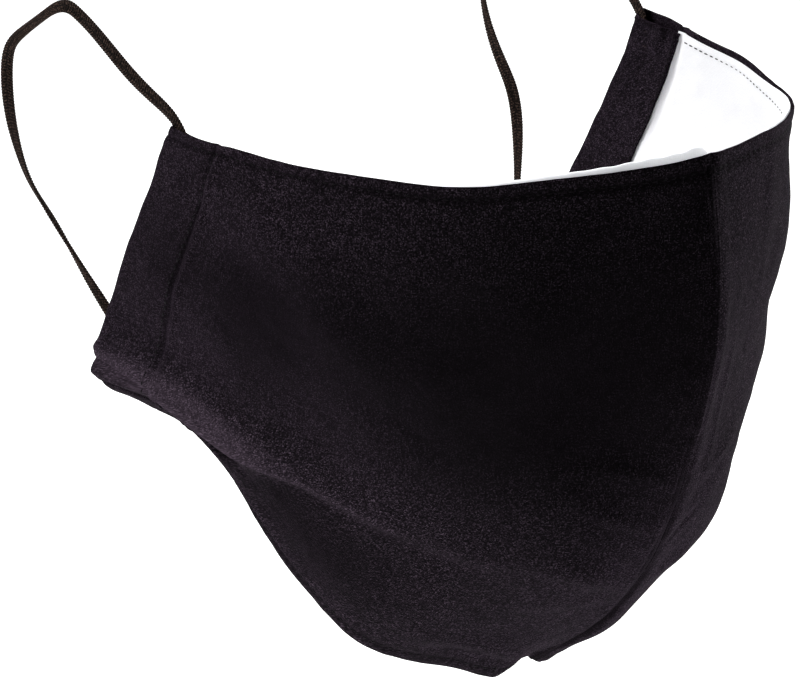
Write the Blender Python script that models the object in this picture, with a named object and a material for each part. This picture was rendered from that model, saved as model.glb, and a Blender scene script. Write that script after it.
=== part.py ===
"""Cloth face mask: two curved panels joined down the front, a lining and two ear elastics.

Metres, +Z up. The face looks along -Y and the wearer's right is -X. The origin is the top of the
centre seam, where the mask sits on the nose.
"""
import bmesh
import bpy
import numpy as np

# Driving sizes of the worn mask
HALF_WIDTH = 0.068        # centre plane to the side edge at the cheek
TOP_DEPTH = 0.1088        # seam top back to the top corner at the ear
SIDE_DROP = 0.0105        # top corner below the seam top
JAW_DEPTH = 0.1405        # seam top back to the lower corner at the ear
RIDGE_DROP = 0.1095       # jaw ridge below the seam top, at the chin
CHIN_DROP = 0.0355        # end of the centre seam below the jaw ridge
CHEEK_BULGE = 0.007       # how far the cheek stands out of a straight wall
MOUTH_BULGE = 0.0041      # how far the seam stands in front of its top

# Cloth
WALL = 0.001              # one panel of cloth, outer or lining
CLEARANCE = 0.0003        # gap between touching pieces
CASING_WIDTH = 0.0197     # folded side channel for the elastic
CHANNEL_HEIGHT = 0.002    # room for the elastic inside the channel
CASING_OVERLAP = 0.0015   # lining caught under the end of the casing
LINING_SHOW = 0.0016      # lining standing above the top edge beside the nose
LINING_INSET = 0.0015     # lining held back from the other edges
SEAM_BLEND = 0.008        # distance from the seam over which walls turn square to the surface

# Ear elastic
ELASTIC_WIDTH = 0.003
ELASTIC_THICKNESS = 0.0012
ELASTIC_TAIL = 0.009      # length sewn into each end of the channel
ELASTIC_AT_MOUTH = 0.0035   # centre of the elastic from the side edge, at the channel's mouths
ELASTIC_LEAN = 0.0055       # how much further in its sewn end lies
ELASTIC_RINGS = 60
SECTION_POINTS = 8

# Grid of the faceted cloth
PANEL_COLUMNS = 24
PANEL_ROWS = 21
TURN_COLUMNS = 5
PROBE_COUNT = 250         # steps to one unit of u or v, for measuring a normal
CASING_COLUMNS = 4

# Stations run from the centre seam (u = 0) to the side edge (u = 1).
# Top edge: x, y and z as shares of HALF_WIDTH, TOP_DEPTH and SIDE_DROP.
# Cheek: the bulge one third and two thirds down to the jaw ridge, as shares of CHEEK_BULGE.
TOP_STATIONS = (
    # u,   x,     y,     z,    upper, lower
    (0.00, 0.000, 0.000, 0.00, 0.00, 0.00),
    (0.16, 0.265, 0.047, 0.19, 0.70, 0.70),
    (0.32, 0.515, 0.145, 0.48, 0.85, 0.95),
    (0.48, 0.735, 0.317, 0.72, 0.85, 0.90),
    (0.63, 0.882, 0.523, 0.84, 0.70, 0.65),
    (0.77, 0.964, 0.713, 0.92, 0.45, 0.45),
    (0.89, 0.998, 0.868, 0.97, 0.30, 0.30),
    (1.00, 1.010, 1.000, 1.00, 0.15, 0.15),
)

# Jaw ridge, fold under the jaw and hem: x as a share of HALF_WIDTH, y of JAW_DEPTH,
# z of RIDGE_DROP for the ridge, and of CHIN_DROP below the ridge for the two others.
JAW_STATIONS = (
    # u,   ridge x, y, z,         under x, y, z,         hem x, y, z
    (0.00, 0.000, 0.152, 1.000, 0.000, 0.269, 0.514, 0.000, 0.428, 1.000),
    (0.16, 0.294, 0.180, 0.954, 0.203, 0.320, 0.656, 0.147, 0.446, 1.199),
    (0.32, 0.529, 0.297, 0.913, 0.456, 0.415, 0.656, 0.353, 0.540, 1.236),
    (0.48, 0.691, 0.434, 0.872, 0.629, 0.520, 0.602, 0.537, 0.615, 1.150),
    (0.63, 0.809, 0.570, 0.826, 0.762, 0.628, 0.454, 0.690, 0.690, 0.891),
    (0.77, 0.897, 0.700, 0.785, 0.865, 0.717, 0.274, 0.812, 0.735, 0.528),
    (0.89, 0.956, 0.840, 0.726, 0.935, 0.828, 0.162, 0.875, 0.802, 0.309),
    (1.00, 1.000, 1.000, 0.708, 0.970, 0.988, 0.185, 0.868, 0.962, 0.267),
)
ROWS = (0.0, 0.25, 0.5, 0.75, 0.88, 1.0)   # top edge, cheek, cheek, ridge, under, hem

FOLD_WIDTH = 0.005        # half width of a soft fold
FOLD_HEIGHT = 0.001       # and how far it stands out

# Soft folds: a line from one (u, v) to another, then shares of FOLD_WIDTH and FOLD_HEIGHT.
FOLDS = (
    # u0,  v0,   u1,   v1,   half width, height
    (1.00, 0.75, 0.28, 0.77, 0.96, 1.9),   # jaw ridge
    (0.78, 0.18, 0.45, 0.62, 1.60, 1.1),   # slack across the cheek
    (0.02, 0.57, 0.17, 0.55, 0.60, 0.7),   # pulls beside the seam
    (0.02, 0.68, 0.17, 0.66, 0.60, 0.8),
    (0.02, 0.80, 0.20, 0.78, 0.70, 0.8),
)
FOLD_SPAN_U = 0.137       # length of the top edge, which the folds' u is measured on
FOLD_SPAN_V = 0.125       # mean height of a panel, for their v
END_SHARE = 0.12          # where a fold's sine starts, in half turns

# Lining above the top edge, as a share of LINING_SHOW, over u
LINING_EDGE = ((0.0, 0.6), (0.08, 1.0), (0.25, 0.7), (0.45, 0.5), (0.6, 0.0), (0.75, -0.8), (1.0, -0.9))

# Route of an elastic behind the ear, from the upper mouth of the casing to the lower one:
# distance from the centre plane, y, z
EAR_ROUTE = (
    (0.0675, 0.1138, -0.0056),
    (0.0680, 0.1225, -0.0022),
    (0.0680, 0.1321, 0.0021),
    (0.0682, 0.1425, 0.0064),
    (0.0685, 0.1459, 0.0073),
    (0.0688, 0.1505, 0.0061),
    (0.0690, 0.1558, 0.0027),
    (0.0694, 0.1645, -0.0037),
    (0.0698, 0.1692, -0.0085),
    (0.0699, 0.1709, -0.0157),
    (0.0698, 0.1709, -0.0207),
    (0.0698, 0.1698, -0.0265),
    (0.0698, 0.1671, -0.0332),
    (0.0697, 0.1628, -0.0395),
    (0.0688, 0.1570, -0.0455),
    (0.0666, 0.1519, -0.0530),
    (0.0635, 0.1476, -0.0618),
    (0.0598, 0.1439, -0.0709),
    (0.0566, 0.1424, -0.0780),
    (0.0541, 0.1404, -0.0829),
    (0.0538, 0.1366, -0.0860),
)


def spline_weights(knots, where):
    """Weights of a natural cubic spline: a row for each place, a column for each knot."""
    k = np.asarray(knots, float)
    w = np.asarray(where, float)
    n = len(k)
    h = np.diff(k)
    bend = np.eye(n)
    load = np.zeros((n, n))
    for i in range(1, n - 1):
        bend[i, i - 1:i + 2] = h[i - 1], 2 * (h[i - 1] + h[i]), h[i]
        load[i, i - 1:i + 2] = 6 / h[i - 1], -6 / h[i - 1] - 6 / h[i], 6 / h[i]
    m = np.linalg.solve(bend, load)
    i = np.clip(np.searchsorted(k, w, side="right") - 1, 0, n - 2)
    unit = np.eye(n)
    d = (w - k[i])[:, None]
    e = (k[i + 1] - w)[:, None]
    s = h[i][:, None]
    cubic = (m[i] * e ** 3 + m[i + 1] * d ** 3) / (6 * s)
    return cubic + (unit[i] / s - m[i] * s / 6) * e + (unit[i + 1] / s - m[i + 1] * s / 6) * d


def control_net():
    """Points of the panel's outer face, a row for each of ROWS and a column for each station."""
    top = np.array(TOP_STATIONS)
    jaw = np.array(JAW_STATIONS)
    edge = top[:, 1:4] * (HALF_WIDTH, TOP_DEPTH, -SIDE_DROP)
    ridge = jaw[:, 1:4] * (HALF_WIDTH, JAW_DEPTH, -RIDGE_DROP)
    below = ridge * (0, 0, 1)
    under = jaw[:, 4:7] * (HALF_WIDTH, JAW_DEPTH, -CHIN_DROP) + below
    hem = jaw[:, 7:10] * (HALF_WIDTH, JAW_DEPTH, -CHIN_DROP) + below
    along = np.gradient(edge[:, :2], top[:, 0], axis=0)
    outward = np.stack([along[:, 1], -along[:, 0], 0 * along[:, 0]], axis=-1)
    outward /= np.linalg.norm(outward, axis=1, keepdims=True)
    cheeks = []
    for share, column in ((1 / 3, 4), (2 / 3, 5)):
        cheek = edge * (1 - share) + ridge * share + outward * top[:, column:column + 1] * CHEEK_BULGE
        cheeks.append(cheek)
    cheeks[0][0] = (0, -MOUTH_BULGE, -RIDGE_DROP / 3)
    cheeks[1][0] = (0, MOUTH_BULGE, -RIDGE_DROP * 2 / 3)
    return np.stack([edge, cheeks[0], cheeks[1], ridge, under, hem])


NET = control_net()
STATIONS = [row[0] for row in TOP_STATIONS]


def base_surface(u, v):
    """Smooth outer face of the left panel at matching flat arrays u and v."""
    return np.einsum("ns,nr,rsk->nk", spline_weights(STATIONS, u), spline_weights(ROWS, v), NET)


def normals(surface, u, v):
    """Unit normals pointing out of the mask, kept in the centre plane along the seam."""
    probe = 1 / PROBE_COUNT
    along = surface(u + probe, v) - surface(u - probe, v)
    down = surface(u, v + probe) - surface(u, v - probe)
    n = np.cross(down, along)
    n[:, 0] *= np.clip(u * FOLD_SPAN_U / SEAM_BLEND, 0, 1)
    return n / np.linalg.norm(n, axis=1, keepdims=True)


def fold_height(u, v):
    """Height of the soft folds: a bell across each fold's line, fading at its ends."""
    height = np.zeros(len(u))
    p = np.stack([u * FOLD_SPAN_U, v * FOLD_SPAN_V], axis=-1)
    for u0, v0, u1, v1, width_share, height_share in FOLDS:
        a = np.array((u0 * FOLD_SPAN_U, v0 * FOLD_SPAN_V))
        b = np.array((u1 * FOLD_SPAN_U, v1 * FOLD_SPAN_V))
        t = np.clip(((p - a) @ (b - a)) / ((b - a) @ (b - a)), 0, 1)
        away = np.linalg.norm(p - a - t[:, None] * (b - a), axis=1)
        fade = np.sin(np.pi * (END_SHARE + (1 - 2 * END_SHARE) * t))
        height += FOLD_HEIGHT * height_share * np.exp(-(away / (FOLD_WIDTH * width_share)) ** 2) * fade
    return height


def outer_face(u, v):
    """Outer face of the left panel with its folds."""
    return base_surface(u, v) + normals(base_surface, u, v) * fold_height(u, v)[:, None]


def place(u, v, depth, side):
    """Point at (u, v), so far under the outer face, on the left (+1) or right (-1) of the wearer."""
    u, v, depth = (np.ravel(a) for a in np.broadcast_arrays(u, v, depth))
    p = outer_face(u, v) - normals(outer_face, u, v) * depth[:, None]
    p[:, 0] = side * (np.maximum(p[:, 0], 0) + CLEARANCE / 2)
    return p


def speed_at_side(v):
    """Metres of cloth along a row for one unit of u, at the side edge."""
    step = 0.05
    return np.linalg.norm(base_surface(1 + 0 * v, v) - base_surface(1 - step + 0 * v, v), axis=1) / step


def material(name, colour, roughness):
    """Plain cloth colour."""
    m = bpy.data.materials.new(name)
    m.use_nodes = True
    shader = m.node_tree.nodes["Principled BSDF"]
    shader.inputs["Base Color"].default_value = (*colour, 1)
    shader.inputs["Roughness"].default_value = roughness
    return m


def add_object(name, vertices, faces, mat):
    """Named object from vertices and faces, shaded smooth, with its faces turned out."""
    mesh = bpy.data.meshes.new(name)
    mesh.from_pydata([tuple(p) for p in vertices], [], faces)
    bm = bmesh.new()
    bm.from_mesh(mesh)
    bmesh.ops.recalc_face_normals(bm, faces=bm.faces)
    bm.to_mesh(mesh)
    bm.free()
    mesh.shade_smooth()
    mesh.set_sharp_from_angle(angle=np.radians(40))
    mesh.materials.append(mat)
    ob = bpy.data.objects.new(name, mesh)
    bpy.context.scene.collection.objects.link(ob)
    return ob


def sheet_solid(name, front, back, mat):
    """Closed wall between two grids of points of the same shape (columns, rows, 3)."""
    columns, rows = front.shape[:2]
    index = np.arange(columns * rows).reshape(columns, rows)
    under = index + columns * rows
    faces = []
    for i in range(columns - 1):
        for j in range(rows - 1):
            faces.append((index[i, j], index[i + 1, j], index[i + 1, j + 1], index[i, j + 1]))
            faces.append((under[i, j], under[i, j + 1], under[i + 1, j + 1], under[i + 1, j]))
    rim = [(i, 0) for i in range(columns)]
    rim += [(columns - 1, j) for j in range(1, rows)]
    rim += [(i, rows - 1) for i in range(columns - 2, -1, -1)]
    rim += [(0, j) for j in range(rows - 2, 0, -1)]
    for a, b in zip(rim, rim[1:] + rim[:1]):
        faces.append((index[a], under[a], under[b], index[b]))
    points = np.concatenate([front.reshape(-1, 3), back.reshape(-1, 3)])
    return add_object(name, points, [tuple(int(k) for k in f) for f in faces], mat)


def lining_columns(speed):
    """The values of u down each column of the lining, from the seam to its end under the casing."""
    end = 1 - (CASING_WIDTH - CASING_OVERLAP) / speed
    return [share * end for share in np.linspace(0, 1, PANEL_COLUMNS)]


def outer_panel(side, name, mat):
    """Outer cloth of one side, with its side edge folded back as the casing of the elastic."""
    v = np.linspace(0, 1, PANEL_ROWS)
    speed = speed_at_side(v)
    radius = WALL + CHANNEL_HEIGHT / 2
    front = []
    back = []

    def add_column(u_front, depth_front, u_back, depth_back):
        front.append(place(u_front, v, depth_front, side))
        back.append(place(u_back, v, depth_back, side))

    for u in lining_columns(speed):
        add_column(u, 0, u, WALL)
    for reach in np.linspace(CASING_WIDTH - CASING_OVERLAP, radius, CASING_COLUMNS)[1:]:
        add_column(1 - reach / speed, 0, 1 - reach / speed, WALL)
    for angle in np.linspace(0, np.pi, TURN_COLUMNS + 2)[1:-1]:
        reach = np.sin(angle)
        sink = 1 - np.cos(angle)
        inner = radius - WALL
        add_column(1 - radius * (1 - reach) / speed, radius * sink,
                   1 - (radius - inner * reach) / speed, WALL + inner * sink)
    for reach in np.linspace(radius, CASING_WIDTH, CASING_COLUMNS):
        u = 1 - reach / speed
        add_column(u, WALL + CHANNEL_HEIGHT + WALL, u, WALL + CHANNEL_HEIGHT)
    return sheet_solid(name, np.array(front), np.array(back), mat)


def lining(side, name, mat):
    """Inner cloth of one side, ending under the casing and showing above the top edge."""
    v = np.linspace(0, 1, PANEL_ROWS)
    shown = np.array(LINING_EDGE)
    front = []
    back = []
    for u in lining_columns(speed_at_side(v)):
        v[0] = -np.interp(u[0], shown[:, 0], shown[:, 1]) * LINING_SHOW / FOLD_SPAN_V
        v[-1] = 1 - LINING_INSET / FOLD_SPAN_V
        front.append(place(u, v, WALL + CLEARANCE, side))
        back.append(place(u, v, 2 * WALL + CLEARANCE, side))
    return sheet_solid(name, np.array(front), np.array(back), mat)


def elastic_tail(side, start, toward):
    """Stretch of elastic inside the channel, from a mouth at row start, and the way that it faces."""
    step = 0.05
    mouth = np.array([start])
    beside = 1 + 0 * mouth
    reach = np.linalg.norm(base_surface(beside, mouth + toward * step) - base_surface(beside, mouth))
    inward = np.linspace(0, 1, 4)
    v = start + toward * inward * ELASTIC_TAIL * step / reach
    from_edge = ELASTIC_AT_MOUTH + ELASTIC_LEAN * (1 - (1 - inward) ** 2)
    u = 1 - from_edge / speed_at_side(v)
    facing = normals(outer_face, u, v) * (side, 1, 1)
    return place(u, v, WALL + CHANNEL_HEIGHT / 2, side), facing


def elastic_route(side):
    """Centre line of one elastic: in the channel's top, round the ear, into the channel's foot."""
    top, top_facing = elastic_tail(side, 0, 1)
    foot, foot_facing = elastic_tail(side, 1, -1)
    free = np.array(EAR_ROUTE) * (side, 1, 1)
    free_facing = np.tile((side, 0.0, 0.0), (len(free), 1))
    chosen = np.concatenate([top[::-1], free, foot])
    facing = np.concatenate([top_facing[::-1], free_facing, foot_facing])
    run = np.concatenate([[0], np.cumsum(np.linalg.norm(np.diff(chosen, axis=0), axis=1))])
    weights = spline_weights(run / run[-1], np.linspace(0, 1, ELASTIC_RINGS))
    return weights @ chosen, weights @ facing


def ear_loop(side, name, mat):
    """Flat elastic: an oval section carried along the route."""
    path, facing = elastic_route(side)
    forward = np.gradient(path, axis=0)
    forward /= np.linalg.norm(forward, axis=1, keepdims=True)
    facing -= forward * np.sum(forward * facing, axis=1, keepdims=True)
    facing /= np.linalg.norm(facing, axis=1, keepdims=True)
    across = np.cross(forward, facing)
    angles = np.arange(SECTION_POINTS) * 2 * np.pi / SECTION_POINTS
    wide = np.cos(angles)[None, :, None] * across[:, None, :] * ELASTIC_WIDTH / 2
    thin = np.sin(angles)[None, :, None] * facing[:, None, :] * ELASTIC_THICKNESS / 2
    rings = path[:, None, :] + wide + thin
    faces = []
    for i in range(len(path) - 1):
        for j in range(SECTION_POINTS):
            k = (j + 1) % SECTION_POINTS
            a = i * SECTION_POINTS
            b = a + SECTION_POINTS
            faces.append((a + j, a + k, b + k, b + j))
    faces.append(tuple(range(SECTION_POINTS)))
    faces.append(tuple(range((len(path) - 1) * SECTION_POINTS, len(path) * SECTION_POINTS)))
    return add_object(name, rings.reshape(-1, 3), faces, mat)


for ob in list(bpy.data.objects):
    bpy.data.objects.remove(ob)

black_cotton = material("black_cotton", (0.010, 0.008, 0.011), 0.85)
white_lining = material("white_lining", (0.75, 0.75, 0.76), 0.9)
black_elastic = material("black_elastic", (0.012, 0.010, 0.010), 0.7)

for side, word in ((-1, "right"), (1, "left")):
    outer_panel(side, f"outer_panel_{word}", black_cotton)
    lining(side, f"lining_{word}", white_lining)
    ear_loop(side, f"ear_loop_{word}", black_elastic)
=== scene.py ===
# %% [markdown]
# # A black cloth face mask
# The mask is two curved panels of thin black cotton sewn together down the front, with a white
# lining, a folded casing at each side and a flat elastic behind each ear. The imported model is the
# fixed frame: every piece below goes where its solids are, in metres, with +Z up. The front of the
# mask is toward -Y, its near side is toward -X, and the origin is the top of the centre seam.

# %% Load the frame
from math import cos, pi, radians, sin

import bpy
import numpy as np
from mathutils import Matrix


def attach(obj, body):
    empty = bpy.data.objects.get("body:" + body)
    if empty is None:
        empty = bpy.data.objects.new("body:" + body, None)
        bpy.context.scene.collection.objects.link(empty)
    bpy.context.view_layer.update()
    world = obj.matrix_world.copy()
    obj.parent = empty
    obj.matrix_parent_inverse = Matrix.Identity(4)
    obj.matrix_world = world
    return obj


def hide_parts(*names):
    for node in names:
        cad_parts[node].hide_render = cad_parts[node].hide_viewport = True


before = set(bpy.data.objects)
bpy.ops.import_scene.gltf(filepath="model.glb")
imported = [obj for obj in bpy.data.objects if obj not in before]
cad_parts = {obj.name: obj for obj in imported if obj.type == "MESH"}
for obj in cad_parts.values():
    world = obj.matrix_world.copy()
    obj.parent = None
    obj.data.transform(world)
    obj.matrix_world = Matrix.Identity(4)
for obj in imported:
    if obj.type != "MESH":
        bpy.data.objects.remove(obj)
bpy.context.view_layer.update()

# %% [markdown]
# ## The camera
# A long lens from a little above and from the -X side keeps the near panel wide and the far one
# narrow. The top of the seam sits at a known place in the picture, so the camera is slid sideways
# and up until the origin falls there, and isn't turned.

# %% Camera
PICTURE_WIDTH = 800
PICTURE_HEIGHT = 680
SENSOR = 36.0                    # millimetres
VIEW_AZIMUTH = radians(-37)
VIEW_HEIGHT = radians(22.5)
VIEW_DISTANCE = 1.15             # camera to the top of the seam, along the view
PIXELS_PER_METRE = 4645          # in the picture, at the top of the seam
SEAM_TOP_PIXEL = (712, 153)


def put_in_place(name, data, columns):
    """A camera or light with these three axes, at this place."""
    ob = bpy.data.objects.new(name, data)
    bpy.context.scene.collection.objects.link(ob)
    matrix = np.eye(4)
    matrix[:3] = np.transpose(columns)
    ob.matrix_world = matrix.T.tolist()
    return ob


level = np.array((sin(VIEW_AZIMUTH), -cos(VIEW_AZIMUTH), 0))
back = level * cos(VIEW_HEIGHT) + (0, 0, sin(VIEW_HEIGHT))
right = np.array((cos(VIEW_AZIMUTH), sin(VIEW_AZIMUTH), 0))
up = np.cross(back, right)
slide_right = (PICTURE_WIDTH / 2 - SEAM_TOP_PIXEL[0]) / PIXELS_PER_METRE
slide_up = (SEAM_TOP_PIXEL[1] - PICTURE_HEIGHT / 2) / PIXELS_PER_METRE

camera_data = bpy.data.cameras.new("camera")
camera_data.sensor_width = SENSOR
camera_data.lens = SENSOR * PIXELS_PER_METRE * VIEW_DISTANCE / PICTURE_WIDTH
camera_at = back * VIEW_DISTANCE + right * slide_right + up * slide_up
bpy.context.scene.camera = put_in_place("camera", camera_data, (right, up, back, camera_at))
print("lens", round(camera_data.lens, 1), "mm, camera at", np.round(camera_at, 3))

# %% [markdown]
# ## The worn panel
# The worn mask is a tent of cloth, held by its top edge, its elastics and its hem. It could be
# draped by a cloth simulation, but the worn form is known from its edges, so each panel is one
# smooth surface through a small net of measured points: u runs from the centre seam (0) to the side
# edge (1), v from the top edge (0) to the hem (1). The tables hold the points as shares of a few
# sizes, and are the ones that the solids of the frame were made from.

# %% Sizes and tables of the panel
HALF_WIDTH = 0.068        # centre plane to the side edge at the cheek
TOP_DEPTH = 0.1088        # seam top back to the top corner at the ear
SIDE_DROP = 0.0105        # top corner below the seam top
JAW_DEPTH = 0.1405        # seam top back to the lower corner at the ear
RIDGE_DROP = 0.1095       # jaw ridge below the seam top, at the chin
CHIN_DROP = 0.0355        # end of the centre seam below the jaw ridge
CHEEK_BULGE = 0.007       # how far the cheek stands out of a straight wall
MOUTH_BULGE = 0.0041      # how far the seam stands in front of its top

TOP_STATIONS = (
    # u,   x,     y,     z,    upper, lower bulge
    (0.00, 0.000, 0.000, 0.00, 0.00, 0.00),
    (0.16, 0.265, 0.047, 0.19, 0.70, 0.70),
    (0.32, 0.515, 0.145, 0.48, 0.85, 0.95),
    (0.48, 0.735, 0.317, 0.72, 0.85, 0.90),
    (0.63, 0.882, 0.523, 0.84, 0.70, 0.65),
    (0.77, 0.964, 0.713, 0.92, 0.45, 0.45),
    (0.89, 0.998, 0.868, 0.97, 0.30, 0.30),
    (1.00, 1.010, 1.000, 1.00, 0.15, 0.15),
)
JAW_STATIONS = (
    # u,   ridge x, y, z,         under x, y, z,         hem x, y, z
    (0.00, 0.000, 0.152, 1.000, 0.000, 0.269, 0.514, 0.000, 0.428, 1.000),
    (0.16, 0.294, 0.180, 0.954, 0.203, 0.320, 0.656, 0.147, 0.446, 1.199),
    (0.32, 0.529, 0.297, 0.913, 0.456, 0.415, 0.656, 0.353, 0.540, 1.236),
    (0.48, 0.691, 0.434, 0.872, 0.629, 0.520, 0.602, 0.537, 0.615, 1.150),
    (0.63, 0.809, 0.570, 0.826, 0.762, 0.628, 0.454, 0.690, 0.690, 0.891),
    (0.77, 0.897, 0.700, 0.785, 0.865, 0.717, 0.274, 0.812, 0.735, 0.528),
    (0.89, 0.956, 0.840, 0.726, 0.935, 0.828, 0.162, 0.875, 0.802, 0.309),
    (1.00, 1.000, 1.000, 0.708, 0.970, 0.988, 0.185, 0.868, 0.962, 0.267),
)
ROWS = (0.0, 0.25, 0.5, 0.75, 0.88, 1.0)
SIDES = (("right", -1), ("left", 1))


# %% The smooth surface through the net
def spline_weights(knots, where):
    """Weights of a natural cubic spline, a row for each place and a column for each knot.

    The bend at each knot comes from the usual linear system, and each place blends the values and
    bends of the two knots beside it.
    """
    k = np.asarray(knots, float)
    w = np.asarray(where, float)
    n = len(k)
    h = np.diff(k)
    bend = np.eye(n)
    load = np.zeros((n, n))
    for i in range(1, n - 1):
        bend[i, i - 1:i + 2] = h[i - 1], 2 * (h[i - 1] + h[i]), h[i]
        load[i, i - 1:i + 2] = 6 / h[i - 1], -6 / h[i - 1] - 6 / h[i], 6 / h[i]
    m = np.linalg.solve(bend, load)
    i = np.clip(np.searchsorted(k, w, side="right") - 1, 0, n - 2)
    unit = np.eye(n)
    d = (w - k[i])[:, None]
    e = (k[i + 1] - w)[:, None]
    s = h[i][:, None]
    cubic = (m[i] * e ** 3 + m[i + 1] * d ** 3) / (6 * s)
    return cubic + (unit[i] / s - m[i] * s / 6) * e + (unit[i + 1] / s - m[i + 1] * s / 6) * d


def control_net():
    """Points of a panel's outer face, a row for each of ROWS and a column for each station."""
    top = np.array(TOP_STATIONS)
    jaw = np.array(JAW_STATIONS)
    edge = top[:, 1:4] * (HALF_WIDTH, TOP_DEPTH, -SIDE_DROP)
    ridge = jaw[:, 1:4] * (HALF_WIDTH, JAW_DEPTH, -RIDGE_DROP)
    below = ridge * (0, 0, 1)
    under = jaw[:, 4:7] * (HALF_WIDTH, JAW_DEPTH, -CHIN_DROP) + below
    hem = jaw[:, 7:10] * (HALF_WIDTH, JAW_DEPTH, -CHIN_DROP) + below
    along = np.gradient(edge[:, :2], top[:, 0], axis=0)
    outward = np.stack([along[:, 1], -along[:, 0], 0 * along[:, 0]], axis=-1)
    outward /= np.linalg.norm(outward, axis=1, keepdims=True)
    cheeks = []
    for share, column in ((1 / 3, 4), (2 / 3, 5)):
        cheek = edge * (1 - share) + ridge * share + outward * top[:, column:column + 1] * CHEEK_BULGE
        cheeks.append(cheek)
    cheeks[0][0] = (0, -MOUTH_BULGE, -RIDGE_DROP / 3)
    cheeks[1][0] = (0, MOUTH_BULGE, -RIDGE_DROP * 2 / 3)
    return np.stack([edge, cheeks[0], cheeks[1], ridge, under, hem])


NET = control_net()
STATIONS = [row[0] for row in TOP_STATIONS]
SPAN_U = 0.137            # length of the top edge, which distances along u are measured on
SPAN_V = 0.125            # mean height of a panel, for distances along v
SEAM_BLEND = 0.008        # distance from the seam over which walls turn square to the surface
PROBE = 0.004             # step in u and v that a normal is measured over


def base_surface(u, v):
    """Smooth outer face of the left panel: the net blended by one spline along u and one along v."""
    return np.einsum("ns,nr,rsk->nk", spline_weights(STATIONS, u), spline_weights(ROWS, v), NET)


def base_normals(u, v):
    """Unit normals out of the mask: the cross product of small steps down and along the surface."""
    along = base_surface(u + PROBE, v) - base_surface(u - PROBE, v)
    down = base_surface(u, v + PROBE) - base_surface(u, v - PROBE)
    n = np.cross(down, along)
    n[:, 0] *= np.clip(u * SPAN_U / SEAM_BLEND, 0, 1)
    return n / np.linalg.norm(n, axis=1, keepdims=True)


def speed_at_side(v):
    """Metres of cloth along a row for one unit of u, at the side edge."""
    step = 0.05
    return np.linalg.norm(base_surface(1 + 0 * v, v) - base_surface(1 - step + 0 * v, v), axis=1) / step


print("side edge to side edge", round(2 * HALF_WIDTH * 1000), "mm")

# %% [markdown]
# ## Folds and other relief
# On the smooth form lies everything that makes it cloth: the sharp crease along the jaw, slack
# across the cheek, pulls beside the seam, the dent of each row of stitches, and a softness all
# over. Sculpting by hand would do, but bells and bumps in a table can be measured and moved one by
# one. Each is a height along the normal, in millimetres, and they simply add up.

# %% Folds: ridges along short lines
MM = 0.001
# Half width above and below the line and height in millimetres, then points (u, v)
SHARED_FOLDS = (
    (9.0, 5.0, 1.9, ((1.00, 0.797), (0.94, 0.783), (0.86, 0.768), (0.70, 0.762))),
    (6.5, 1.8, 1.15, ((0.83, 0.776), (0.74, 0.760), (0.61, 0.747), (0.42, 0.748), (0.27, 0.753))),
    (2.4, 6.5, -0.75, ((0.80, 0.800), (0.61, 0.776), (0.42, 0.778), (0.26, 0.785))),
    (14.0, 9.0, -1.7, ((0.99, 0.60), (0.80, 0.60), (0.58, 0.61))),
    (7.0, 6.0, 0.5, ((0.33, 0.750), (0.20, 0.754), (0.07, 0.760))),
    (2.0, 1.8, 0.5, ((1.02, 0.700), (0.96, 0.704), (0.91, 0.713))),
    (2.2, 2.4, 0.6, ((1.02, 0.790), (0.965, 0.803), (0.92, 0.800))),
    (1.3, 1.3, -0.8, ((1.03, 0.745), (0.96, 0.751), (0.90, 0.754))),
    (1.6, 1.6, -0.4, ((1.02, 0.855), (0.95, 0.860), (0.89, 0.850))),
)
SIDE_FOLDS = {
    "right": (
        (9.0, 9.0, 1.2, ((0.80, 0.11), (0.708, 0.172), (0.623, 0.232), (0.547, 0.34), (0.487, 0.388),
                         (0.40, 0.396))),
        (7.0, 7.0, 0.5, ((0.64, 0.25), (0.56, 0.38), (0.53, 0.53))),
        (2.2, 1.8, 0.45, ((0.160, 0.524), (0.075, 0.540), (0.012, 0.547))),
        (2.4, 1.6, 0.55, ((0.155, 0.612), (0.070, 0.629), (0.008, 0.640))),
        (3.2, 2.2, 1.00, ((0.200, 0.735), (0.110, 0.742), (0.007, 0.768))),
        (2.0, 1.6, 0.45, ((0.190, 0.822), (0.082, 0.797), (0.030, 0.785))),
        (2.2, 1.4, 0.55, ((0.340, 0.935), (0.225, 0.930), (0.130, 0.945))),
        (1.2, 2.2, -0.50, ((0.310, 0.960), (0.225, 0.952), (0.140, 0.962))),
        (6.0, 6.0, 0.35, ((0.42, 0.10), (0.33, 0.20), (0.24, 0.34), (0.17, 0.46))),
    ),
    "left": (
        (9.0, 8.0, 0.9, ((0.80, 0.16), (0.68, 0.26), (0.57, 0.40), (0.46, 0.56))),
        (1.0, 1.0, 0.25, ((0.024, 0.22), (0.020, 0.34), (0.014, 0.56))),
        (1.3, 1.3, 0.30, ((0.080, 0.24), (0.074, 0.40), (0.056, 0.62))),
        (3.0, 3.0, 0.30, ((0.21, 0.02), (0.20, 0.14), (0.17, 0.30))),
        (1.4, 1.2, -0.50, ((0.075, 0.636), (0.040, 0.655), (0.010, 0.676))),
        (2.4, 2.0, 0.50, ((0.150, 0.545), (0.080, 0.560), (0.020, 0.572))),
        (2.6, 2.2, 0.50, ((0.180, 0.745), (0.090, 0.756), (0.010, 0.768))),
    ),
}
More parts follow.
